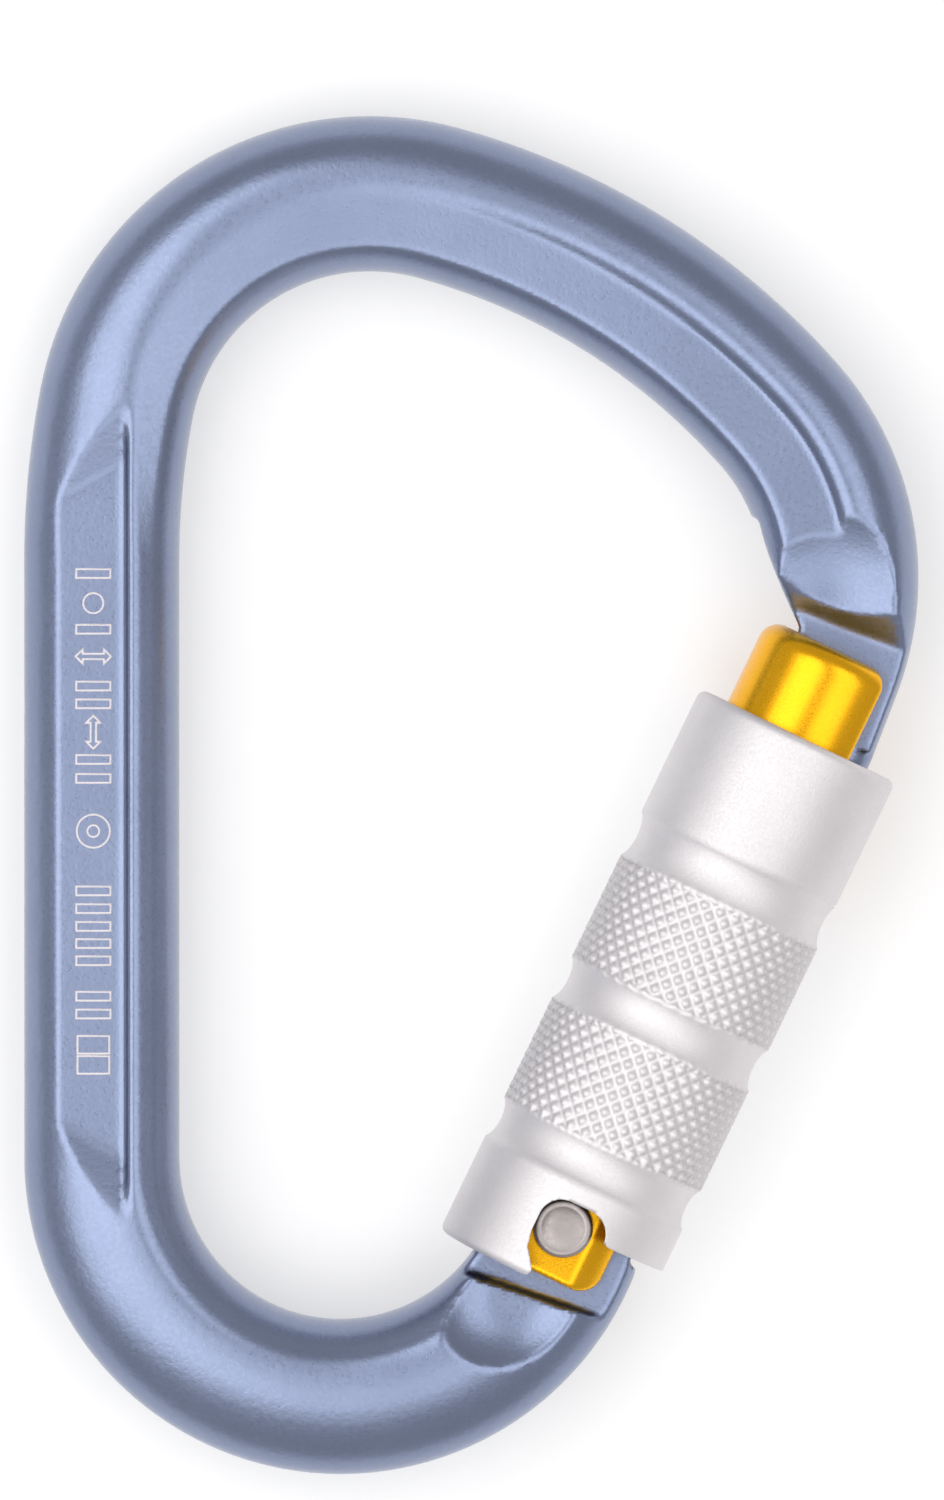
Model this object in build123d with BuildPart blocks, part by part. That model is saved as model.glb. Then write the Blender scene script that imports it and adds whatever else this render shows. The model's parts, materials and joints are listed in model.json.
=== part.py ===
"""Locking carabiner: a pear-shaped aluminium frame with a key-lock nose, and a sprung gate
under a knurled sleeve that is lifted and twisted before the gate opens. Millimetres.

The carabiner lies flat. +X points from the spine to the gate side, +Y from the hinge end to
the broad end, +Z up through the thickness. The origin is the centre of the overall box.
"""
import os
from math import asin, cos, degrees, radians, sin

from build123d import *

# ---- overall size ------------------------------------------------------------------------------
LENGTH = 115.0
WIDTH = 75.8
BAR_WIDTH = 13.15
BAR_HALF = BAR_WIDTH / 2
CREST_HEIGHT = 5.55  # half the bar's thickness at its crest
CREST_HEEL, CREST_SPINE = 1.7, 2.5  # how far the crest stands towards the inside of the loop
CREST_EASED, CREST_CROWN, CREST_BROW, CREST_CHEEK = 0.85, -1.4, -1.5, -1.8
CROWN_RUN, CROWN_FOOT = 1.6, 5.45  # from the crest the broad face first falls gently
EASED_RUN, EASED_FOOT = 1.15, 5.4
HEEL_FOOT, SPINE_RUN = 5.35, 0.8
BROW_RUN, BROW_FOOT = 1.55, 5.25
STEP_RUN, STEP_FOOT = 1.45, 4.65  # past the crown it steps down to a shelf
SHELF_AT, SHELF_HEIGHT = 4.6, 4.6  # inner corner of the broad face
INNER_BULGE_AT, INNER_BULGE_HEIGHT = 6.15, 2.5
OVER_BAR = 8.0  # anything past this height clears the bar

# ---- the frame's centreline, from the hinge round to the nose ----------------------------------
SPINE_X = -WIDTH / 2 + BAR_HALF
HEEL_RADIUS = 20.225
HEEL_CENTRE = (SPINE_X + HEEL_RADIUS, -LENGTH / 2 + BAR_HALF + HEEL_RADIUS)
TANG_ANGLE = -4.0  # polar angle, about the heel's centre, where the bar begins
SPINE_TOP = 20.0
EASING_RADIUS, EASING_TURN = 70.0, 10.9
CROWN_RADIUS, CROWN_TURN = 21.85, 94.25
BROW_RADIUS, BROW_TURN = 59.4, 33.25
CHEEK_RADIUS, CHEEK_TURN = 20.9, 62.6
NOSE_LENGTH = 12.7

# ---- the lock axis: from the rivet, up the middle of the gate ----------------------------------
RIVET_X, RIVET_Y = 7.77, -36.39
LOCK_TILT = 25.7  # degrees from +Y towards +X
LOCK = Plane(
    origin=(RIVET_X, RIVET_Y, 0),
    x_dir=(cos(radians(LOCK_TILT)), -sin(radians(LOCK_TILT)), 0),
    z_dir=(0, 0, 1),
)  # local x runs outwards, local y runs up the gate
LOCK_AXIS = Axis(LOCK.origin, LOCK.y_dir)

# ---- the marking panels on the spine -----------------------------------------------------------
PANEL_INNER = -29.0
PANEL_LOW, PANEL_HIGH = -30.8, 28.3  # where its flat meets the ramps, at the inner side
PANEL_HEIGHT = 4.1
RAMP_TURN, RAMP_RISE = 30.0, 0.33  # the ramps start first at the outer side

# ---- hinge tang and nose plate -----------------------------------------------------------------
TANG_HALF = 2.4
TANG_TILT = 18.65  # the bar's own direction at the hinge, from +Y
TANG_FOOT = -6.35  # where the flat tang begins, along that direction from the rivet
TANG_SCOOP_AT, TANG_SCOOP_ASIDE = -6.9, -2.0  # middle of the dished scoop, from the rivet
TANG_SCOOP = [(1.6, 3.45), (4.5, 4.05), (6.9, CREST_HEIGHT)]  # its profile: radius, height
TANG_TOP = 1.5
TANG_OUTER = 6.35
TANG_OUTER_FROM, TANG_OUTER_EASE = -1.2, 0.66
CAM_OFFSET, CAM_RADIUS = -1.9, 4.4
NOSE_HALF = 2.3
NOSE_TILT = 21.0
NOSE_FOOT, NOSE_LIP_RISE = 55.7, 0.75  # where the lip of the nose plate begins, and its slope
NOSE_SCOOP_AT, NOSE_SCOOP_ASIDE = 56.2, 2.0
NOSE_SCOOP = [(0.6, 3.3), (5.6, 4.2), (8.8, CREST_HEIGHT)]
NOSE_INNER = -3.6
NOSE_FLARE = [(-3.95, 54.3), (-5.93, 55.95), (-8.66, 58.4), (-11.0, 61.0)]
NOSE_ROUND_FROM, NOSE_ROUND_TO = 37.0, 47.2
NOSE_EDGE = 6.45
HEAD_LOW, HEAD_HIGH, HEAD_REACH, HEAD_HALF = 39.7, 41.5, 3.4, 3.3  # key-lock head

# ---- gate --------------------------------------------------------------------------------------
GATE_BOTTOM, GATE_TOP = -4.4, 53.9
GATE_RADIUS, GATE_BODY_RADIUS = 6.7, 6.0
GATE_SHOULDER = 30.0
GATE_FLAT = 4.6  # outer flat of the tip
GATE_FLAT_FROM = 38.6
EAR_HALF, EAR_FACE, EAR_TOP, EAR_CORNER = 4.8, 5.4, 4.6, 1.9
TIP_CORNER = 1.7
FORK_HALF, FORK_FLOOR = 2.5, 5.9
SLOT_HALF, SLOT_FLOOR, SLOT_WALL = 2.6, 38.6, -3.9
HEAD_ROOM_HALF, HEAD_ROOM_TOP = 3.6, 41.9

# ---- rivet, plunger and the gate's spring ------------------------------------------------------
RIVET_RADIUS, RIVET_CLEAR = 2.0, 0.05
RIVET_HEAD_RADIUS, RIVET_HEAD_FACE, RIVET_HEAD_TOP = 2.525, 2.15, 6.4
PLUNGER_RADIUS, PLUNGER_CLEAR, PLUNGER_GAP = 1.6, 0.05, 0.03
PLUNGER_TOP, PLUNGER_BORE_TOP = 11.0, 20.0
GATE_WIRE, GATE_COIL = 0.25, 1.2
GATE_SPRING_TURNS = 7

# ---- locking sleeve ----------------------------------------------------------------------------
SLEEVE_RADIUS = 9.25
SLEEVE_TOP, SLEEVE_RIM = 46.0, 0.0
LEG_BOTTOM = -4.9
SLEEVE_BORE, SLEEVE_COUNTERBORE = 6.75, 7.3
COUNTERBORE_TOP = 34.0
GROOVE_DEPTH = 0.57
GROOVES = [(30.4, 34.5), (17.0, 20.9), (4.0, 7.7)]
RIM_ROUND = 0.7
NOTCH_LEFT, NOTCH_LEFT_TOP, NOTCH_TOP = -2.35, 0.5, 2.4
NOTCH_FLAT = (-0.74, 1.8)
NOTCH_RIGHT, NOTCH_BEND = 3.66, (3.31, 1.55)
LEG_TIP = -0.75
NOSE_SLOT_FLOOR = 34.2
NOSE_SLOT_START, NOSE_SLOT_END = -103.0, 12.8  # degrees from outwards, towards +Z
LIFT = 4.5
TWIST = 108.0

# ---- sleeve spring, its seats, the snap ring and the guide pin ---------------------------------
SLEEVE_WIRE, SLEEVE_COIL = 0.45, 6.55
SLEEVE_SPRING_TURNS = 6
WASHER_THICK = 0.7
SEAT_LOW, SEAT_HIGH = 12.0, 13.5
SEAT_BORE, SEAT_RADIUS = 6.05, 7.25
SNAP_LOW, SNAP_HIGH, SNAP_BORE, SNAP_RADIUS = 11.0, 11.9, 6.6, 7.8
SNAP_GROOVE, SNAP_SLACK, SNAP_GAP = 7.85, 0.05, 35.0
PIN_AT, PIN_RADIUS, PIN_REACH, PIN_ANGLE = 32.4, 1.0, 5.6, 205.0
TRACK_RADIUS, TRACK_SLACK = 5.4, 0.25

REACH = 12.0  # half the size of a cutter that must pass right through
os.makedirs("parts", exist_ok=True)


def tilted(angle):
    """A plane through the rivet: local x along a line tilted from +Y towards +X, local y up."""
    along = Vector(sin(radians(angle)), cos(radians(angle)), 0)
    return Plane(origin=LOCK.origin, x_dir=along, z_dir=along.cross(Vector(0, 0, 1)))


def across(station):
    """The plane square to the lock axis at a station up it: local x outwards, local y down in Z."""
    return Plane(origin=LOCK.from_local_coords((0, station, 0)), x_dir=LOCK.x_dir, z_dir=LOCK.y_dir)


def sector(start, end):
    """Corners of a pie slice between two angles about the lock axis, wider than any piece."""
    far = 2 * REACH
    turns = [radians(angle) for angle in (start, (start + end) / 2, end)]
    return [(0, 0)] + [(far * cos(turn), -far * sin(turn)) for turn in turns]


def save(part, name):
    """Label a finished piece and write it as one STEP file."""
    part.label = name
    export_step(part, f"parts/{name}.step")


# ---- pocket that a marking panel leaves in the spine: a flat with a ramp at both ends ----------
with BuildPart() as panel_pocket:
    with BuildSketch(Plane.XY.offset(PANEL_HEIGHT)):
        with Locations((PANEL_INNER, (PANEL_LOW + PANEL_HIGH) / 2)):
            Rectangle(REACH, WIDTH, align=(Align.MAX, Align.CENTER))
    extrude(amount=OVER_BAR - PANEL_HEIGHT)
    for end, place in ((1, PANEL_HIGH), (-1, PANEL_LOW)):
        lean = (RAMP_RISE * sin(radians(RAMP_TURN)), -end * RAMP_RISE * cos(radians(RAMP_TURN)), 1)
        split(bisect_by=Plane(origin=(PANEL_INNER, place, PANEL_HEIGHT), z_dir=lean))


def bar_section(edge, share, crest, run, foot_height):
    """The bar's section square to an edge, at its start or end: local x into the loop."""
    ahead = edge % share
    with BuildSketch(
        Plane(origin=edge @ share, x_dir=(ahead.Y, -ahead.X, 0), z_dir=ahead)
    ) as section:
        with BuildLine():
            EllipticalCenterArc(
                (crest, 0), BAR_HALF + crest, CREST_HEIGHT, start_angle=90, arc_size=180
            )
            for side in (1, -1):
                top, foot = (crest, side * CREST_HEIGHT), (crest + run, side * foot_height)
                corner = (SHELF_AT, side * SHELF_HEIGHT)
                TangentArc(top, foot, tangent=(1, 0))
                Line(foot, corner)
                ThreePointArc(corner, (INNER_BULGE_AT, side * INNER_BULGE_HEIGHT), (BAR_HALF, 0))
        make_face()
    return section.sketch


# ---- frame: a bar swept round the loop in stretches, then cut for panels, hinge and nose -------
with BuildLine() as centreline:
    heel = CenterArc(HEEL_CENTRE, HEEL_RADIUS, TANG_ANGLE, -(180 + TANG_ANGLE))
    spine = Line(heel @ 1, (SPINE_X, SPINE_TOP))
    easing = JernArc(spine @ 1, spine % 1, EASING_RADIUS, -EASING_TURN)
    rise = JernArc(easing @ 1, easing % 1, CROWN_RADIUS, -CROWN_TURN / 2)
    crown = JernArc(rise @ 1, rise % 1, CROWN_RADIUS, -CROWN_TURN / 2)
    brow = JernArc(crown @ 1, crown % 1, BROW_RADIUS, -BROW_TURN)
    cheek = JernArc(brow @ 1, brow % 1, CHEEK_RADIUS, -CHEEK_TURN)
    nose = Line(cheek @ 1, (cheek @ 1) + (cheek % 1) * NOSE_LENGTH)

with BuildPart() as frame_body:
    heel_shape = (CREST_HEEL, CROWN_RUN, HEEL_FOOT)
    spine_shape = (CREST_SPINE, SPINE_RUN, HEEL_FOOT)
    eased_shape = (CREST_EASED, EASED_RUN, EASED_FOOT)
    crown_shape = (CREST_CROWN, CROWN_RUN, CROWN_FOOT)
    brow_shape = (CREST_BROW, BROW_RUN, BROW_FOOT)
    step_shape = (CREST_CHEEK, STEP_RUN, STEP_FOOT)
    for edge, first, last in (
        (heel, heel_shape, spine_shape),
        (spine, spine_shape, spine_shape),
        (easing, spine_shape, eased_shape),
        (rise, eased_shape, crown_shape),
        (crown, crown_shape, brow_shape),
        (brow, brow_shape, step_shape),
        (cheek, step_shape, step_shape),
        (nose, step_shape, step_shape),
    ):
        ends = [bar_section(edge, 0, *first), bar_section(edge, 1, *last)]
        sweep(sections=ends, path=edge, multisection=True)

    add(panel_pocket.part, mode=Mode.SUBTRACT)
    add(panel_pocket.part.mirror(Plane.XY), mode=Mode.SUBTRACT)

    # the bar thins through dished scoops to a flat tang at the hinge and a flat plate at the nose
    for scoop, middle, (flat, bend, rim) in (
        (tilted(TANG_TILT).offset(TANG_SCOOP_ASIDE), TANG_SCOOP_AT, TANG_SCOOP),
        (tilted(NOSE_TILT).offset(NOSE_SCOOP_ASIDE), NOSE_SCOOP_AT, NOSE_SCOOP),
    ):
        with BuildSketch(Plane(scoop.from_local_coords((middle, 0, 0)), scoop.x_dir, scoop.z_dir)):
            with BuildLine():
                ThreePointArc(flat, bend, rim)
                Polyline(rim, (rim[0], OVER_BAR), (0, OVER_BAR), (0, flat[1]), flat)
            make_face()
            mirror(about=Plane.XZ)
        revolve(axis=Axis(scoop.from_local_coords((middle, 0, 0)), (0, 0, 1)), mode=Mode.SUBTRACT)

    with BuildSketch(tilted(TANG_TILT)):
        with Locations((TANG_FOOT, TANG_HALF), (TANG_FOOT, -TANG_HALF - REACH)):
            Rectangle(REACH - TANG_FOOT, REACH, align=(Align.MIN, Align.MIN))
    extrude(amount=REACH, both=True, mode=Mode.SUBTRACT)
    with BuildSketch(tilted(NOSE_TILT)):
        with BuildLine():
            lip = NOSE_FOOT + (OVER_BAR - NOSE_HALF) / NOSE_LIP_RISE
            Polyline(
                (NOSE_FOOT, NOSE_HALF), (lip, OVER_BAR), (GATE_SHOULDER, OVER_BAR),
                (GATE_SHOULDER, NOSE_HALF), close=True,
            )
        make_face()
        mirror(about=Plane.XZ)
    extrude(amount=REACH, both=True, mode=Mode.SUBTRACT)

    # outline of the tang: a cam round the rivet, and a shoulder that stays inside the sleeve
    with BuildSketch(LOCK):
        with BuildLine():
            Polyline(
                (-REACH, TANG_TOP), (-REACH, REACH), (REACH, REACH), (REACH, TANG_OUTER_FROM),
                (TANG_OUTER, TANG_OUTER_FROM + TANG_OUTER_EASE), (TANG_OUTER, TANG_TOP),
                close=True,
            )
        make_face()
        with Locations((CAM_OFFSET, 0)):
            Circle(CAM_RADIUS, mode=Mode.SUBTRACT)
    extrude(amount=REACH, both=True, mode=Mode.SUBTRACT)

    # outline of the nose plate: its inner edge leaves room for the tip of the gate
    with BuildSketch(LOCK):
        with BuildLine():
            flare = Spline(NOSE_FLARE)
            Polyline(
                flare @ 1, (-REACH - TIP_CORNER, NOSE_FLARE[-1][1]), (-REACH, GATE_SHOULDER),
                (NOSE_INNER, GATE_SHOULDER), (NOSE_INNER, GATE_TOP - TIP_CORNER), flare @ 0,
            )
        make_face()
    extrude(amount=REACH, both=True, mode=Mode.SUBTRACT)

    # inside the sleeve the nose plate's outer edge is fully round
    with BuildSketch(across(NOSE_ROUND_FROM)):
        with Locations((NOSE_EDGE - NOSE_HALF, 0)):
            Rectangle(REACH, 2 * REACH, align=(Align.MIN, Align.CENTER))
            Circle(NOSE_HALF, mode=Mode.SUBTRACT)
    extrude(amount=NOSE_ROUND_TO - NOSE_ROUND_FROM, mode=Mode.SUBTRACT)

    # key-lock head across the end of the nose plate
    with BuildSketch(LOCK):
        with Locations((0, HEAD_LOW)):
            Rectangle(2 * HEAD_REACH, HEAD_HIGH - HEAD_LOW, align=(Align.CENTER, Align.MIN))
    extrude(amount=HEAD_HALF, both=True)

    with Locations(LOCK):
        Hole(RIVET_RADIUS)

# ---- gate: a round bar, forked at both ends ----------------------------------------------------
with BuildPart() as gate:
    with BuildSketch(LOCK):
        with BuildLine():
            Polyline(
                (0, GATE_BOTTOM), (GATE_BODY_RADIUS, GATE_BOTTOM), (GATE_BODY_RADIUS, GATE_SHOULDER),
                (GATE_RADIUS, GATE_SHOULDER), (GATE_RADIUS, GATE_TOP), (0, GATE_TOP), close=True,
            )
        make_face()
        tip_corners = vertices().sort_by(Axis(LOCK.origin, LOCK.y_dir))[-2:]
        fillet(tip_corners.sort_by(Axis(LOCK.origin, LOCK.x_dir))[-1], TIP_CORNER)
    revolve(axis=LOCK_AXIS)

    # outline seen from above: narrow ears at the hinge, a flat on the outer side of the tip
    with BuildSketch(LOCK):
        with Locations((0, GATE_BOTTOM)):
            RectangleRounded(
                2 * EAR_HALF, EAR_TOP - GATE_BOTTOM + REACH, EAR_CORNER, align=(Align.CENTER, Align.MIN)
            )
        with Locations((0, EAR_TOP)):
            Rectangle(2 * GATE_RADIUS, GATE_FLAT_FROM - EAR_TOP, align=(Align.CENTER, Align.MIN))
        with Locations((GATE_FLAT, GATE_SHOULDER)):
            RectangleRounded(
                GATE_RADIUS + GATE_FLAT, GATE_TOP - GATE_SHOULDER, TIP_CORNER,
                align=(Align.MAX, Align.MIN),
            )
    extrude(amount=REACH, both=True, mode=Mode.INTERSECT)

    # flat cheeks under the rivet heads
    with BuildSketch(tilted(LOCK_TILT)):
        with Locations((-REACH, EAR_FACE), (-REACH, -EAR_FACE - REACH)):
            Rectangle(REACH + EAR_TOP, REACH, align=(Align.MIN, Align.MIN))
    extrude(amount=REACH, both=True, mode=Mode.SUBTRACT)

    # fork over the tang, slot for the nose plate, and room for the key-lock head
    with BuildSketch(LOCK):
        with Locations((0, FORK_FLOOR)):
            Rectangle(2 * REACH, 2 * REACH, align=(Align.CENTER, Align.MAX))
    extrude(amount=FORK_HALF, both=True, mode=Mode.SUBTRACT)
    with BuildSketch(LOCK):
        with Locations((SLOT_WALL, SLOT_FLOOR)):
            Rectangle(2 * REACH, 2 * REACH, align=(Align.MIN, Align.MIN))
    extrude(amount=SLOT_HALF, both=True, mode=Mode.SUBTRACT)
    with BuildSketch(LOCK):
        with Locations((SLOT_WALL, SLOT_FLOOR)):
            Rectangle(2 * REACH, HEAD_ROOM_TOP - SLOT_FLOOR, align=(Align.MIN, Align.MIN))
    extrude(amount=HEAD_ROOM_HALF, both=True, mode=Mode.SUBTRACT)

    # track that the guide pin runs in, long enough for the lift and the twist
    with BuildSketch(across(PIN_AT - PIN_RADIUS - TRACK_SLACK)):
        margin = degrees(asin((PIN_RADIUS + TRACK_SLACK) / TRACK_RADIUS))
        Polygon(*sector(PIN_ANGLE - margin, PIN_ANGLE + TWIST + margin), align=None)
        Circle(TRACK_RADIUS, mode=Mode.SUBTRACT)
    extrude(amount=LIFT + 2 * (PIN_RADIUS + TRACK_SLACK), mode=Mode.SUBTRACT)

    with Locations(LOCK):
        Hole(RIVET_RADIUS + RIVET_CLEAR)
    with BuildSketch(across(FORK_FLOOR)):
        with Locations((CAM_OFFSET, 0)):
            Circle(PLUNGER_RADIUS + PLUNGER_CLEAR)
    extrude(amount=PLUNGER_BORE_TOP - FORK_FLOOR, mode=Mode.SUBTRACT)

# ---- rivet, through the gate's ears and the tang -----------------------------------------------
with BuildPart() as hinge_rivet:
    with BuildSketch(tilted(LOCK_TILT)):
        with BuildLine():
            Polyline(
                (0, -RIVET_HEAD_TOP), (RIVET_HEAD_FACE, -RIVET_HEAD_TOP),
                (RIVET_HEAD_RADIUS, -RIVET_HEAD_TOP + RIVET_HEAD_RADIUS - RIVET_HEAD_FACE),
                (RIVET_HEAD_RADIUS, -EAR_FACE - RIVET_CLEAR), (RIVET_RADIUS, -EAR_FACE - RIVET_CLEAR),
                (RIVET_RADIUS, 0), (0, 0), close=True,
            )
        make_face()
        mirror(about=Plane.XZ)
    revolve(axis=Axis(LOCK.origin, (0, 0, 1)))

# ---- plunger and spring that close the gate against the tang's cam -----------------------------
with BuildPart() as gate_plunger:
    with BuildSketch(across(CAM_RADIUS + PLUNGER_GAP)):
        with Locations((CAM_OFFSET, 0)):
            Circle(PLUNGER_RADIUS)
    extrude(amount=PLUNGER_TOP - CAM_RADIUS - PLUNGER_GAP)


def coil(low, high, wire, radius, turns, offset=0.0):
    """A round-wire compression spring round the lock axis, or beside it, between two stations."""
    height = high - low - 2 * wire
    foot = LOCK.from_local_coords((offset, low + wire, 0))
    with BuildPart() as spring:
        with BuildLine():
            helix = Helix(height / turns, height, radius, center=foot, direction=LOCK.y_dir)
        with BuildSketch(Plane(origin=helix @ 0, z_dir=helix % 0)):
            Circle(wire)
        sweep(path=helix, is_frenet=True)
    return spring.part


gate_spring = coil(PLUNGER_TOP, PLUNGER_BORE_TOP, GATE_WIRE, GATE_COIL, GATE_SPRING_TURNS, CAM_OFFSET)

# ---- locking sleeve ----------------------------------------------------------------------------
with BuildPart() as locking_sleeve:
    with BuildSketch(LOCK):
        with BuildLine():
            edge = [(SLEEVE_RADIUS, SLEEVE_TOP)]
            for low, high in GROOVES:
                ThreePointArc(
                    (SLEEVE_RADIUS, high), (SLEEVE_RADIUS - GROOVE_DEPTH, (low + high) / 2),
                    (SLEEVE_RADIUS, low),
                )
                Line(edge[-1], (SLEEVE_RADIUS, high))
                edge.append((SLEEVE_RADIUS, low))
            Polyline(
                edge[-1], (SLEEVE_RADIUS, LEG_BOTTOM), (SLEEVE_COUNTERBORE, LEG_BOTTOM),
                (SLEEVE_COUNTERBORE, COUNTERBORE_TOP), (SLEEVE_BORE, COUNTERBORE_TOP),
                (SLEEVE_BORE, SLEEVE_TOP), edge[0],
            )
        make_face()
    revolve(axis=LOCK_AXIS)
    fillet(edges().filter_by(GeomType.CIRCLE).group_by(LOCK_AXIS)[-1], RIM_ROUND / 2)

    # the lower end leaves one leg on the loop side and a notch that shows the rivet
    with BuildSketch(LOCK):
        with BuildLine():
            leg = Line((LEG_TIP, LEG_BOTTOM), (NOTCH_LEFT, (LEG_BOTTOM + NOTCH_LEFT_TOP) / 2))
            wall = Line(leg @ 1, (NOTCH_LEFT, NOTCH_LEFT_TOP))
            left = TangentArc(wall @ 1, (NOTCH_FLAT[0], NOTCH_TOP), tangent=wall % 1)
            roof = Line(left @ 1, (NOTCH_FLAT[1], NOTCH_TOP))
            right = ThreePointArc(roof @ 1, NOTCH_BEND, (NOTCH_RIGHT, SLEEVE_RIM))
            Polyline(right @ 1, (REACH, SLEEVE_RIM), (REACH, -REACH), (LEG_TIP, -REACH), leg @ 0)
        make_face()
    extrude(amount=REACH, both=True, mode=Mode.SUBTRACT)

    # slot that lets the nose out once the sleeve is twisted
    with BuildSketch(across(NOSE_SLOT_FLOOR)):
        Polygon(*sector(NOSE_SLOT_START, NOSE_SLOT_END), align=None)
    extrude(amount=REACH, mode=Mode.SUBTRACT)

    # groove for the snap ring, and the hole that the guide pin is pressed into
    with BuildSketch(LOCK):
        with Locations((SLEEVE_BORE, SNAP_LOW - SNAP_SLACK)):
            Rectangle(
                SNAP_GROOVE - SLEEVE_BORE, SNAP_HIGH - SNAP_LOW + 2 * SNAP_SLACK,
                align=(Align.MIN, Align.MIN),
            )
    revolve(axis=LOCK_AXIS, mode=Mode.SUBTRACT)

pin_way = Vector(*LOCK.x_dir) * cos(radians(PIN_ANGLE)) + Vector(0, 0, sin(radians(PIN_ANGLE)))
pin_foot = Plane(
    origin=LOCK.from_local_coords((0, PIN_AT, 0)) + pin_way * PIN_REACH, z_dir=pin_way
)
groove_floor = SLEEVE_RADIUS - GROOVE_DEPTH
with locking_sleeve:
    with BuildSketch(pin_foot):
        Circle(PIN_RADIUS)
    extrude(amount=REACH, mode=Mode.SUBTRACT)
with BuildPart() as guide_pin:
    with BuildSketch(pin_foot):
        Circle(PIN_RADIUS)
    extrude(amount=groove_floor - PIN_REACH)

# ---- rings and springs inside the sleeve -------------------------------------------------------
with BuildPart() as thrust_washer:
    with BuildSketch(across(GATE_SHOULDER - WASHER_THICK)):
        Circle(SEAT_RADIUS)
        Circle(SEAT_BORE, mode=Mode.SUBTRACT)
    extrude(amount=WASHER_THICK)

with BuildPart() as spring_seat_ring:
    with BuildSketch(across(SEAT_LOW)):
        Circle(SEAT_RADIUS)
        Circle(SEAT_BORE, mode=Mode.SUBTRACT)
    extrude(amount=SEAT_HIGH - SEAT_LOW)

with BuildPart() as snap_ring:
    with BuildSketch(across(SNAP_LOW)):
        Circle(SNAP_RADIUS)
        Circle(SNAP_BORE, mode=Mode.SUBTRACT)
        Polygon(*sector(180 - SNAP_GAP / 2, 180 + SNAP_GAP / 2), align=None, mode=Mode.SUBTRACT)
    extrude(amount=SNAP_HIGH - SNAP_LOW)

sleeve_spring = coil(
    SEAT_HIGH, GATE_SHOULDER - WASHER_THICK, SLEEVE_WIRE, SLEEVE_COIL, SLEEVE_SPRING_TURNS
)

save(frame_body.part, "frame_body")
save(gate.part, "gate")
save(hinge_rivet.part, "hinge_rivet")
save(gate_plunger.part, "gate_plunger")
save(gate_spring, "gate_spring")
save(locking_sleeve.part, "locking_sleeve")
save(guide_pin.part, "guide_pin")
save(thrust_washer.part, "thrust_washer")
save(spring_seat_ring.part, "spring_seat_ring")
save(snap_ring.part, "snap_ring")
save(sleeve_spring, "sleeve_spring")
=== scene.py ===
import json
from math import cos, pi, radians, sin, sqrt

import bmesh
import bpy
import numpy as np
from mathutils import Matrix, Vector


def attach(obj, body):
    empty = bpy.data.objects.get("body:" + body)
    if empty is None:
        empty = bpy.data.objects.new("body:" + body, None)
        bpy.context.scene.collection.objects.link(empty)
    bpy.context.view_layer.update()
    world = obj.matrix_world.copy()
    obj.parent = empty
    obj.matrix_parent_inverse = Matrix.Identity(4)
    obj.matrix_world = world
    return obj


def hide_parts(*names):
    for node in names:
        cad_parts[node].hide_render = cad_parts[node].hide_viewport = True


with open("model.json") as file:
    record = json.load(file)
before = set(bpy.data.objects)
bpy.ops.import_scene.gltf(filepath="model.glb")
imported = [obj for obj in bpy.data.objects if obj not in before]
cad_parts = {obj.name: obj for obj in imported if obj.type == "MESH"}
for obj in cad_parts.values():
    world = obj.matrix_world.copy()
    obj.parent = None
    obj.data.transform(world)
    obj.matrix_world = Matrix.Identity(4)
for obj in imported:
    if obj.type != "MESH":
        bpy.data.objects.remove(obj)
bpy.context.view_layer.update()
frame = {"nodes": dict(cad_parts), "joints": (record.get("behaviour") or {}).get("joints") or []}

MM = 0.001
NOISE_ROUGHNESS = 0.6
SEAM = 1e-7  # CAD vertices closer than this are one
JOINTS = {joint["name"]: joint for joint in frame["joints"]}
RIVET = Vector(JOINTS["gate_swing"]["pos_m"])
UP_GATE = Vector(JOINTS["sleeve_lift"]["axis"]).normalized()  # from the rivet to the tip
THICK = Vector((0, 0, 1))
OUTWARD = UP_GATE.cross(THICK)  # away from the loop


def placed(name, data):
    """A new object in the scene."""
    obj = bpy.data.objects.new(name, data)
    bpy.context.scene.collection.objects.link(obj)
    return obj


def on_lock(across, along, height):
    """A point from millimetres outwards from the lock axis, up it from the rivet, and in Z."""
    return RIVET + (OUTWARD * across + UP_GATE * along + THICK * height) * MM


# ---- materials ---------------------------------------------------------------------------------


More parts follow.
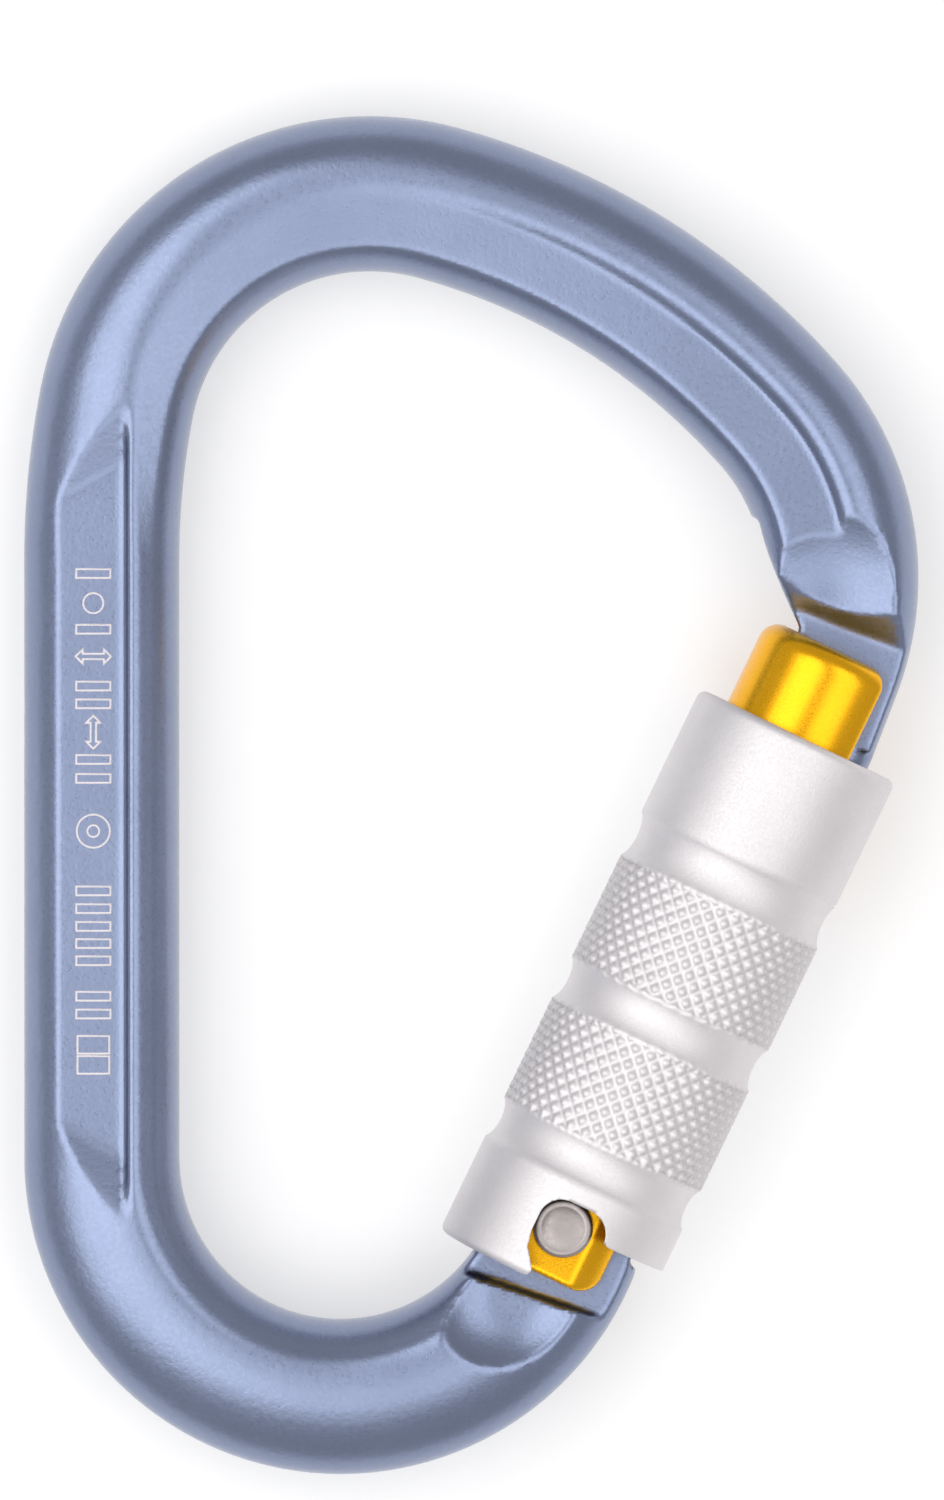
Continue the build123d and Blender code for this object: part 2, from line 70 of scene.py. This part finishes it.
class Finish:
    """A node material with one Principled shader, and helpers for grain, wear and bump."""

    def __init__(self, name, colour, metallic, roughness, **sockets):
        self.material = bpy.data.materials.new(name)
        self.material.use_nodes = True
        self.tree = self.material.node_tree
        self.shader = self.tree.nodes["Principled BSDF"]
        self.shader.inputs["Base Color"].default_value = (*colour, 1)
        self.shader.inputs["Metallic"].default_value = metallic
        self.shader.inputs["Roughness"].default_value = roughness
        for socket, value in sockets.items():
            self.shader.inputs[socket.replace("_", " ")].default_value = value
        self.place = self.tree.nodes.new("ShaderNodeTexCoord").outputs["Object"]
        self.normal = None

    def noise(self, scale, detail=4.0, stretch=None):
        """Fractal noise; scale is cells per metre, stretch squeezes the cells along X, Y, Z."""
        node = self.tree.nodes.new("ShaderNodeTexNoise")
        node.inputs["Scale"].default_value = scale
        node.inputs["Detail"].default_value = detail
        node.inputs["Roughness"].default_value = NOISE_ROUGHNESS
        place = self.place
        if stretch:
            mapping = self.tree.nodes.new("ShaderNodeMapping")
            mapping.inputs["Scale"].default_value = stretch
            self.tree.links.new(place, mapping.inputs["Vector"])
            place = mapping.outputs["Vector"]
        self.tree.links.new(place, node.inputs["Vector"])
        return node.outputs["Fac"]

    def spread(self, value, low, high, start=0.3, end=0.7):
        """Maps a value from start..end to low..high."""
        node = self.tree.nodes.new("ShaderNodeMapRange")
        sockets = ("From Min", "From Max", "To Min", "To Max")
        for socket, number in zip(sockets, (start, end, low, high)):
            node.inputs[socket].default_value = number
        self.tree.links.new(value, node.inputs["Value"])
        return node.outputs["Result"]

    def ramp(self, value, *stops):
        """A colour ramp: stops are (position, (r, g, b))."""
        node = self.tree.nodes.new("ShaderNodeValToRGB")
        elements = node.color_ramp.elements
        while len(elements) < len(stops):
            elements.new(0.5)
        for element, (position, colour) in zip(elements, stops):
            element.position = position
            element.color = (*colour, 1)
        self.tree.links.new(value, node.inputs["Fac"])
        return node.outputs["Color"]

    def drive(self, socket, output):
        self.tree.links.new(output, self.shader.inputs[socket])

    def bump(self, height, strength, distance):
        """Adds a bump layer on top of those before it."""
        node = self.tree.nodes.new("ShaderNodeBump")
        node.inputs["Strength"].default_value = strength
        node.inputs["Distance"].default_value = distance
        self.tree.links.new(height, node.inputs["Height"])
        if self.normal is not None:
            self.tree.links.new(self.normal, node.inputs["Normal"])
        self.normal = node.outputs["Normal"]
        self.tree.links.new(self.normal, self.shader.inputs["Normal"])

    def round_edges(self, radius):
        """Softens the light on sharp edges, as tumbling does."""
        node = self.tree.nodes.new("ShaderNodeBevel")
        node.samples = 4
        node.inputs["Radius"].default_value = radius
        self.normal = node.outputs["Normal"]


def anodised_blue():
    finish = Finish("anodised_blue", (0.215, 0.257, 0.385), 1.0, 0.34, Coat_Weight=0.5, Coat_Roughness=0.3)
    grain = finish.noise(3000, 3.0)
    cloud = finish.noise(160, 3.0)
    finish.drive(
        "Base Color", finish.ramp(cloud, (0.3, (0.205, 0.247, 0.37)), (0.7, (0.225, 0.268, 0.4)))
    )
    finish.drive("Roughness", finish.spread(grain, 0.26, 0.38))
    finish.bump(grain, 0.4, 0.00005)
    return finish.material


def anodised_gold():
    finish = Finish("anodised_gold", (0.9, 0.45, 0.006), 1.0, 0.33, Coat_Weight=0.15, Coat_Roughness=0.25)
    grain = finish.noise(5200, 3.0)
    cloud = finish.noise(200, 3.0)
    finish.round_edges(0.0002)
    finish.drive(
        "Base Color", finish.ramp(cloud, (0.3, (0.88, 0.435, 0.005)), (0.7, (0.92, 0.465, 0.01)))
    )
    finish.drive("Roughness", finish.spread(grain, 0.22, 0.34))
    finish.bump(grain, 0.12, 0.00003)
    return finish.material


def satin_silver():
    finish = Finish("satin_silver", (0.76, 0.735, 0.745), 0.9, 0.55)
    grain = finish.noise(4200, 4.0)
    cloud = finish.noise(220, 3.0)
    finish.round_edges(0.00018)
    finish.drive(
        "Base Color", finish.ramp(cloud, (0.3, (0.74, 0.715, 0.725)), (0.7, (0.78, 0.755, 0.765)))
    )
    finish.drive("Roughness", finish.spread(grain, 0.50, 0.64))
    finish.bump(grain, 0.5, 0.00005)
    return finish.material


def turned_steel():
    finish = Finish("turned_steel", (0.37, 0.335, 0.325), 1.0, 0.4)
    grain = finish.noise(3800, 4.0)
    finish.drive("Roughness", finish.spread(grain, 0.28, 0.48))
    finish.bump(grain, 0.3, 0.00003)
    return finish.material


def spring_steel():
    finish = Finish("spring_steel", (0.42, 0.42, 0.44), 1.0, 0.3)
    drawn = finish.noise(2500, 3.0, stretch=(1, 1, 0.15))
    finish.drive("Roughness", finish.spread(drawn, 0.22, 0.4))
    finish.bump(drawn, 0.2, 0.00002)
    return finish.material


def seat_polymer():
    finish = Finish("seat_polymer", (0.03, 0.03, 0.032), 0.0, 0.5)
    grain = finish.noise(3000, 3.0)
    finish.drive("Roughness", finish.spread(grain, 0.42, 0.6))
    finish.bump(grain, 0.3, 0.00003)
    return finish.material


def laser_mark():
    finish = Finish("laser_mark", (0.8, 0.75, 0.77), 0.0, 0.55)
    speckle = finish.noise(9000, 2.0)
    finish.drive(
        "Base Color", finish.ramp(speckle, (0.35, (0.66, 0.62, 0.66)), (0.65, (0.86, 0.81, 0.83)))
    )
    finish.bump(speckle, 0.3, 0.00002)
    return finish.material


BLUE, GOLD, SILVER = anodised_blue(), anodised_gold(), satin_silver()
STEEL, WIRE, POLYMER, MARK = turned_steel(), spring_steel(), seat_polymer(), laser_mark()


def paint(obj, material):
    obj.data.materials.clear()
    obj.data.materials.append(material)


# ---- mesh helpers ------------------------------------------------------------------------------


def new_piece(name, mesh, material, body):
    """A visible piece that rides on a CAD body."""
    obj = placed(name, mesh)
    paint(obj, material)
    mesh.polygons.foreach_set("use_smooth", [True] * len(mesh.polygons))
    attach(obj, body)
    return obj


def settled(obj):
    """The object's mesh with its modifiers applied, and the object itself removed."""
    bpy.context.view_layer.update()
    graph = bpy.context.evaluated_depsgraph_get()
    mesh = bpy.data.meshes.new_from_object(obj.evaluated_get(graph))
    bpy.data.objects.remove(obj)
    return mesh


def skin_of(node, voxel, rounds):
    """A fine even skin over a CAD node, with its edges a little softened."""
    mesh = frame["nodes"][node].data.copy()
    sheet = bmesh.new()
    sheet.from_mesh(mesh)
    bmesh.ops.remove_doubles(sheet, verts=sheet.verts, dist=SEAM)
    sheet.to_mesh(mesh)
    sheet.free()
    work = placed("work", mesh)
    guide = placed("guide", mesh.copy())
    remesh = work.modifiers.new("skin", "REMESH")
    remesh.mode = "VOXEL"
    remesh.voxel_size = voxel
    wrap = work.modifiers.new("wrap", "SHRINKWRAP")
    wrap.target = guide
    soften = work.modifiers.new("soften", "SMOOTH")
    soften.factor = 0.5
    soften.iterations = rounds
    skin = settled(work)
    bpy.data.objects.remove(guide)
    return skin


def mesh_from(points, faces):
    mesh = bpy.data.meshes.new("mesh")
    mesh.from_pydata([tuple(point) for point in points], [], [tuple(face) for face in faces])
    sheet = bmesh.new()
    sheet.from_mesh(mesh)
    bmesh.ops.recalc_face_normals(sheet, faces=sheet.faces)
    sheet.to_mesh(mesh)
    sheet.free()
    return mesh


def wrapped_grid(rows, columns):
    """Quads between rows of a grid whose columns and rows both close on themselves."""
    row, column = np.meshgrid(np.arange(rows), np.arange(columns), indexing="ij")
    next_row, next_column = (row + 1) % rows, (column + 1) % columns
    quads = (row * columns + column, row * columns + next_column,
             next_row * columns + next_column, next_row * columns + column)
    return np.stack([q.ravel() for q in quads], axis=1)


def prism(outline, low, high):
    """A closed prism: outline is (across, along) millimetres on the lock plane, from low to high."""
    count = len(outline)
    points = [on_lock(a, t, height) for height in (low, high) for a, t in outline]
    faces = [tuple(range(count))[::-1], tuple(range(count, 2 * count))]
    faces += [(i, (i + 1) % count, count + (i + 1) % count, count + i) for i in range(count)]
    return mesh_from(points, faces)


def carve(mesh, *cutters):
    """The mesh less the cutters."""
    work = placed("work", mesh)
    tools = [placed("cutter", cutter) for cutter in cutters]
    for tool in tools:
        cut = work.modifiers.new("cut", "BOOLEAN")
        cut.operation = "DIFFERENCE"
        cut.solver = "EXACT"
        cut.object = tool
    result = settled(work)
    for tool in tools:
        bpy.data.objects.remove(tool)
    return result


# ---- frame and gate: fine skins over the CAD shapes --------------------------------------------

FRAME_VOXEL, GATE_VOXEL = 0.37 * MM, 0.26 * MM
skin = skin_of("frame_body", FRAME_VOXEL, 3)
frame_skin = new_piece("frame_skin", skin, BLUE, "frame")
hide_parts("frame_body")
gate_skin = new_piece("gate_skin", skin_of("gate", GATE_VOXEL, 2), GOLD, "gate")
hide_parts("gate")


# ---- sleeve: two knurled bands between plain grooves -------------------------------------------

SLEEVE_R, BORE_R, WIDE_BORE_R = 9.25, 6.75, 7.3
SLEEVE_LOW, SLEEVE_HIGH, WIDE_BORE_TOP = -4.9, 46.0, 34.0
GROOVES = [(4.0, 7.7), (17.0, 20.9), (30.4, 34.5)]
BANDS = [(7.7, 17.0), (20.9, 30.4)]
GROOVE_DEPTH, KNURL_DEPTH, KNURL_HALF_WIDTH = 0.57, 0.34, 0.30
KNURL_COUNT, KNURL_SAMPLES = 39, 8
RIM, LIP = 0.7, 0.35  # roundings of the outer and the inner edges
NOTCH_RIM = 0.2
NOSE_SLOT = (-103.0, 12.8, 34.2)  # start and end, degrees from outwards towards +Z, and floor
CUT_REACH = 14.0


def arc(centre, radius, start, end, count):
    """Points on an arc, angles in degrees."""
    angles = np.radians(np.linspace(start, end, count))
    return [(centre[0] + radius * cos(a), centre[1] + radius * sin(a)) for a in angles]


def groove_radius(along):
    for low, high in GROOVES:
        if low < along < high:
            half = (high - low) / 2
            offset = (along - (low + high) / 2) / half
            return SLEEVE_R - GROOVE_DEPTH * (1 - offset**2) ** 0.75
    return SLEEVE_R


def sleeve_profile():
    """Points (radius, along) up the outside, over the rim, and down the bore."""
    pitch = 2 * pi * SLEEVE_R / KNURL_COUNT / KNURL_SAMPLES
    stations = [SLEEVE_LOW + RIM]
    stretches = [(SLEEVE_LOW + RIM, GROOVES[0][0], 0.4)]
    stretches += [(low, high, 0.3) for low, high in GROOVES]
    stretches += [(low, high, pitch) for low, high in BANDS]
    stretches += [(GROOVES[-1][1], SLEEVE_HIGH - RIM, 0.5)]
    for low, high, step in stretches:
        stations += list(np.linspace(low, high, max(2, round((high - low) / step)) + 1))
    stations = sorted(set(round(s, 5) for s in stations))
    outside = [(groove_radius(s), s) for s in stations]
    top = SLEEVE_HIGH
    rim = arc((SLEEVE_R - RIM, top - RIM), RIM, 0, 90, 6)[1:]
    rim += arc((BORE_R + LIP, top - LIP), LIP, 90, 180, 5)
    bore = [(BORE_R, s) for s in np.linspace(top - 1, WIDE_BORE_TOP, 14)]
    wide = [(WIDE_BORE_R, s) for s in np.linspace(WIDE_BORE_TOP, SLEEVE_LOW + LIP, 24)]
    foot = arc((WIDE_BORE_R + LIP, SLEEVE_LOW + LIP), LIP, 180, 270, 5)[1:]
    foot += arc((SLEEVE_R - RIM, SLEEVE_LOW + RIM), RIM, 270, 360, 7)[:-1]
    return outside + rim + bore + wide + foot


def knurl(turn, along):
    """Depth of the two crossing sets of 45 degree grooves, in millimetres."""
    pitch = 2 * pi * SLEEVE_R / KNURL_COUNT
    depth = np.zeros_like(turn)
    for hand in (1, -1):
        phase = (turn * SLEEVE_R + hand * along) / pitch
        gap = np.abs(phase - np.round(phase)) * pitch * sqrt(0.5)
        wall = np.clip(1 - gap / KNURL_HALF_WIDTH, 0, 1)
        depth = np.maximum(depth, KNURL_DEPTH * wall * (1.5 - 0.5 * wall))
    edge = np.zeros_like(turn)
    for low, high in BANDS:
        edge = np.maximum(edge, np.clip(np.minimum(along - low, high - along) / 0.2 + 0.3, 0, 1))
    return depth * edge


def sleeve_mesh():
    profile = np.array(sleeve_profile())
    columns = KNURL_COUNT * KNURL_SAMPLES
    turn = np.linspace(0, 2 * pi, columns, endpoint=False)
    turn, radius = np.meshgrid(turn, profile[:, 0])
    along = np.broadcast_to(profile[:, 1:2], turn.shape)
    outside = radius > SLEEVE_R - 0.01
    radius = np.where(outside, radius - knurl(turn, along), radius)
    axes = [np.array(v) for v in (OUTWARD, UP_GATE, THICK)]
    points = (
        np.array(RIVET)
        + MM * radius[..., None] * (np.cos(turn)[..., None] * axes[0] + np.sin(turn)[..., None] * axes[2])
        + MM * along[..., None] * axes[1]
    )
    return mesh_from(points.reshape(-1, 3), wrapped_grid(len(profile), columns))


def notch_outline():
    """What is cut from the sleeve's lower end: it leaves the leg and shows the rivet."""
    far = CUT_REACH
    tip = arc((-1.45, SLEEVE_LOW + 0.55), 0.55, -90, 30, 7)
    wall = [(-2.05, -2.6), (-2.35, -1.2)]
    left = arc((-0.35, 0.4), 2.0, 180, 90, 14)
    right = arc((1.46, 0.2), 2.2, 90, 0, 16)
    corner = arc((4.16, NOTCH_RIM + 0.5), 0.5, 200, 270, 7)
    return [(-1.45, -far)] + tip + wall + left + right + corner + [(far, NOTCH_RIM), (far, -far)]


def slot_cutter(start, end, floor):
    """A wedge about the lock axis, open upwards, between two angles from outwards towards +Z."""
    angles = np.radians(np.linspace(start, end, 5))
    outline = [(0.0, 0.0)] + [(2 * CUT_REACH * cos(a), 2 * CUT_REACH * sin(a)) for a in angles]
    count = len(outline)
    points = [on_lock(a, t, z) for t in (floor, floor + 2 * CUT_REACH) for a, z in outline]
    faces = [tuple(range(count)), tuple(range(count, 2 * count))[::-1]]
    faces += [(i, count + i, count + (i + 1) % count, (i + 1) % count) for i in range(count)]
    return mesh_from(points, faces)


notch = prism(notch_outline(), -CUT_REACH, CUT_REACH)
sleeve = carve(sleeve_mesh(), notch, slot_cutter(*NOSE_SLOT))
sleeve_shell = new_piece("sleeve_shell", sleeve, SILVER, "sleeve")
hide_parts("locking_sleeve")


# ---- rivet: turned heads with a rounded edge and a faint ring, the same at both ends -----------

RIVET_HEAD, RIVET_SHANK, EAR_TOP, HEAD_TOP = 2.525, 2.0, 5.45, 6.4


def turned(profile, count=96):
    """A solid of revolution about the rivet's axis; profile is (radius, height) millimetres."""
    turns = np.linspace(0, 2 * pi, count, endpoint=False)
    points = [
        RIVET + Vector((r * cos(t), r * sin(t), z)) * MM for r, z in profile for t in turns
    ]
    rings = len(profile)
    faces = [
        (i * count + j, i * count + k, (i + 1) * count + k, (i + 1) * count + j)
        for i in range(rings - 1) for j in range(count) for k in ((j + 1) % count,)
    ]
    faces += [tuple(range(count)), tuple(range((rings - 1) * count, rings * count))]
    return mesh_from(points, faces)


half = [(0.5, HEAD_TOP - 0.03), (1.75, HEAD_TOP), (1.83, HEAD_TOP - 0.04), (1.92, HEAD_TOP)]
half += arc((RIVET_HEAD - 0.4, HEAD_TOP - 0.4), 0.4, 90, 0, 8)
half += [(RIVET_HEAD, EAR_TOP), (RIVET_SHANK, EAR_TOP)]
rivet = new_piece(
    "rivet", turned(half + [(r, -z) for r, z in reversed(half)]), STEEL, "frame"
)
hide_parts("hinge_rivet")


# ---- laser marks on the upper panel: plain figures in place of the maker's text ----------------

MARK_LINE, MARK_FOOT, MARK_FACE = 0.17, 4.0, 4.125
MARK_X = -31.9


def outlined(corners, along):
    """A thin raised band round a closed figure; corners are (along, up) about its own middle."""
    shape = np.array(corners)
    ahead = np.roll(shape, -1, axis=0) - shape
    ahead /= np.linalg.norm(ahead, axis=1)[:, None]
    right = np.stack([ahead[:, 1], -ahead[:, 0]], axis=1)
    before = np.roll(right, 1, axis=0)
    miter = (right + before) / (1 + (right * before).sum(axis=1))[:, None] * MARK_LINE / 2
    points = []
    for outer, inner in zip(shape + miter, shape - miter):
        for (a, u), z in (
            (outer, MARK_FOOT), (outer, MARK_FACE), (inner, MARK_FACE), (inner, MARK_FOOT)
        ):
            points.append(((MARK_X - u) * MM, (along + a) * MM, z * MM))
    return points, wrapped_grid(len(shape), 4)


def rectangle(width, height):
    w, h = width / 2, height / 2
    return [(-w, -h), (w, -h), (w, h), (-w, h)]


def ring(radius, count=40):
    return arc((0, 0), radius, 0, 360 - 360 / count, count)


def arrow(length, head, shaft, upright=False):
    half, neck = length / 2, length / 2 - head
    right = [(neck, -shaft), (neck, -head), (half, 0), (neck, head), (neck, shaft)]
    corners = right + [(-a, -u) for a, u in right]
    return [(-u, a) for a, u in corners] if upright else corners


marks = [(rectangle(1.5, 2.7), along) for along in (-22.7, -21.0)]
marks += [(rectangle(0.75, 2.9), along) for along in (-18.4, -16.9, -13.9, -12.45, -11.0, -9.5, -8.0)]
marks += [(ring(1.4), -2.95), (ring(0.5), -2.95)]
marks += [(rectangle(0.75, 2.9), along) for along in (1.5, 3.1, 7.8, 9.3, 14.1, 18.8)]
marks += [(arrow(2.8, 0.6, 0.22), 5.4), (arrow(3.0, 0.6, 0.22, True), 11.8)]
marks += [(ring(0.85), 16.3)]
mark_points, mark_faces = [], []
for corners, along in marks:
    points, faces = outlined(corners, along)
    mark_faces += [tuple(int(i) + len(mark_points) for i in face) for face in faces]
    mark_points += points
new_piece("panel_marks", mesh_from(mark_points, mark_faces), MARK, "frame")


# ---- the smaller pieces keep their CAD shapes --------------------------------------------------

for node, material in (
    ("gate_plunger", STEEL), ("guide_pin", STEEL), ("thrust_washer", STEEL),
    ("spring_seat_ring", POLYMER), ("snap_ring", WIRE), ("gate_spring", WIRE), ("sleeve_spring", WIRE),
):
    paint(frame["nodes"][node], material)


# ---- floor, light and camera -------------------------------------------------------------------

REST_SLOPE = 0.057  # the carabiner lies on its sleeve and on the shoulder of its spine
FLOOR_HALF, FLOOR_GAP = 1.5, 0.05
floor_points = []
for x, y in rectangle(2 * FLOOR_HALF, 2 * FLOOR_HALF):
    spread = (Vector((x, y, 0)) - RIVET).dot(OUTWARD)
    floor_points.append((x, y, -(SLEEVE_R + FLOOR_GAP) * MM - REST_SLOPE * spread))
floor = placed("floor", mesh_from(floor_points, [(0, 1, 2, 3)]))
ground = Finish("floor", (0.6, 0.6, 0.6), 0.0, 0.6)
ground.drive("Roughness", ground.spread(ground.noise(300), 0.55, 0.7))
ground.shader.inputs["Emission Color"].default_value = (1, 1, 1, 1)
ground.shader.inputs["Emission Strength"].default_value = 0.4
paint(floor, ground.material)


def softbox(name, place, size, power):
    """A large rectangular light that faces straight down."""
    lamp = bpy.data.lights.new(name, "AREA")
    lamp.shape = "RECTANGLE"
    lamp.size, lamp.size_y = size
    lamp.energy = power
    placed(name, lamp).location = place


softbox("softbox_left", (-0.78, 0.0, 1.1), (1.3, 1.5), 11.0)
softbox("softbox_right", (0.62, -0.10, 1.1), (0.9, 1.2), 4.7)
softbox("softbox_low", (0.0, -0.58, 1.1), (0.36, 0.6), 0.75)

world = bpy.data.worlds.new("studio")
bpy.context.scene.world = world
world.use_nodes = True
world.node_tree.nodes["Background"].inputs["Color"].default_value = (1.0, 0.99, 1.0, 1)
world.node_tree.nodes["Background"].inputs["Strength"].default_value = 0.55

FRAME_HEIGHT = 127.0 * MM  # what the picture's height covers at the object's mid-plane
FRAME_CENTRE = Vector((0.04, 3.86, 0)) * MM
CAMERA_DISTANCE = 1.5
LEAN_RIGHT, LEAN_UP = radians(0.5), radians(0.6)
camera_data = bpy.data.cameras.new("camera")
camera_data.sensor_width = 36.0
camera_data.lens = camera_data.sensor_width * CAMERA_DISTANCE / FRAME_HEIGHT
camera_data.clip_start = 0.01
camera = placed("camera", camera_data)
back = Vector((sin(LEAN_RIGHT), sin(LEAN_UP), cos(LEAN_RIGHT))).normalized()
camera.location = FRAME_CENTRE + back * CAMERA_DISTANCE
side = Vector((0, 1, 0)).cross(back).normalized()
upright = back.cross(side)
camera.matrix_world = Matrix(
    [(side.x, upright.x, back.x, camera.location.x), (side.y, upright.y, back.y, camera.location.y),
     (side.z, upright.z, back.z, camera.location.z), (0, 0, 0, 1)]
)
bpy.context.scene.camera = camera
bpy.context.scene.view_settings.view_transform = "Standard"
bpy.context.scene.view_settings.look = "None"
